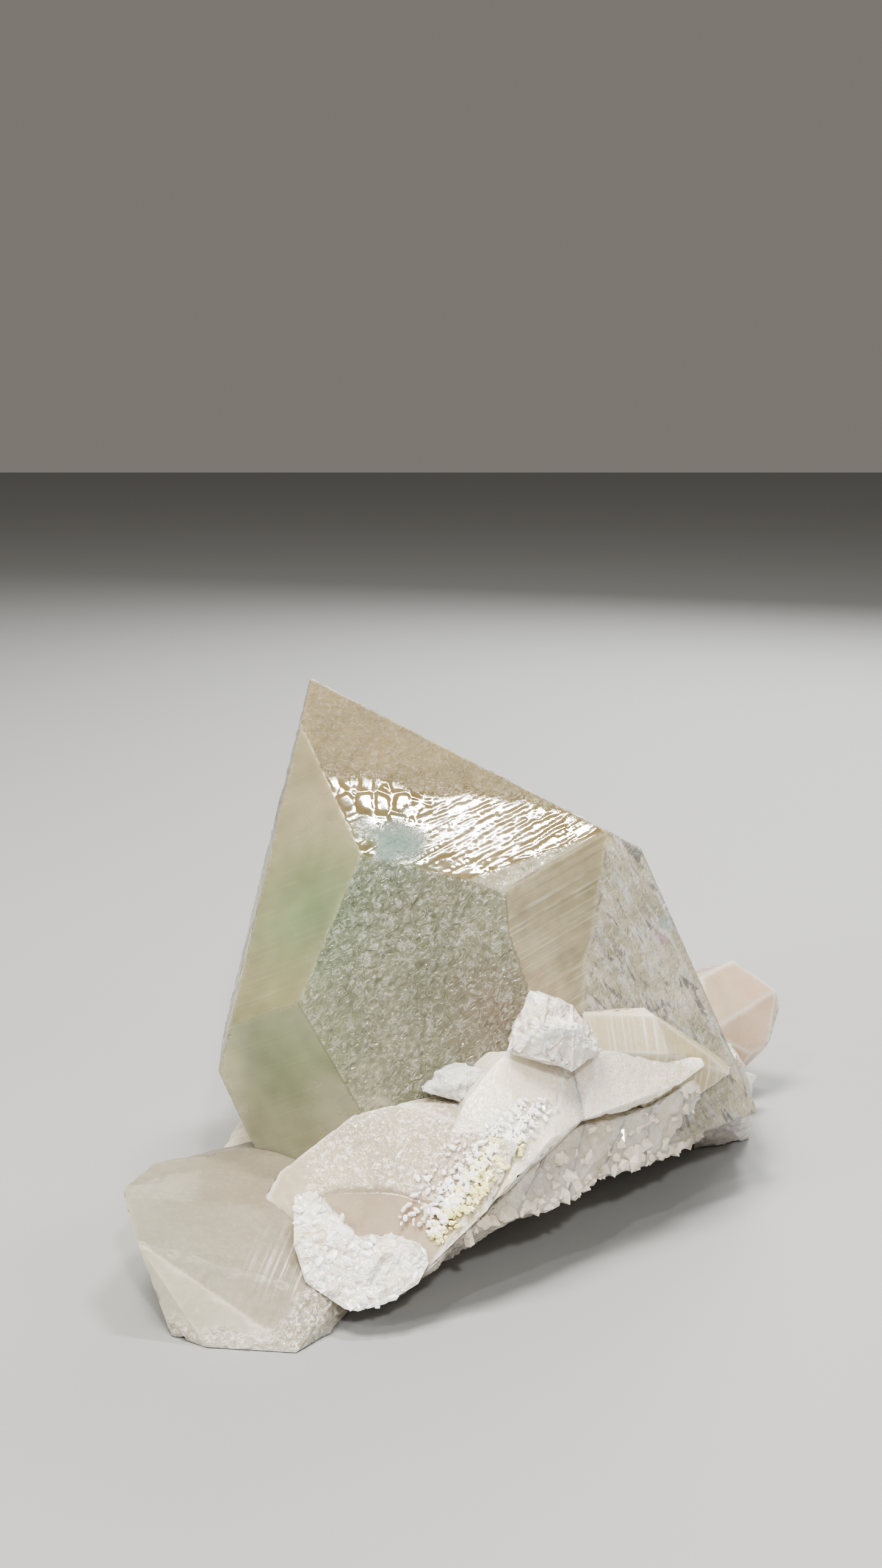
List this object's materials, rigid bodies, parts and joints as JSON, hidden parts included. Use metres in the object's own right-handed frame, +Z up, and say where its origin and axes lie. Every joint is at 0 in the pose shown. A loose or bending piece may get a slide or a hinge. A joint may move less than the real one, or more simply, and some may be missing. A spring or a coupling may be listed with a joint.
{
  "type": "quartz cluster",
  "caption": "Cluster of quartz crystals grown together, one tall translucent point above smaller milky points, resting on its rough root.",
  "frame": {"origin": "middle of the bounding box's underside, on the surface it rests on", "axes": "+Z up, -Y towards the viewer of the tall crystal's wide etched face, +X to that viewer's right; Y is the longest extent"},
  "size_m": [0.144, 0.157, 0.1075],
  "materials": {
    "quartz": "natural crystal faces, glassy to frosted"
  },
  "bodies": {
    "root": {"quartz_cluster": "quartz"}
  },
  "joints": []
}
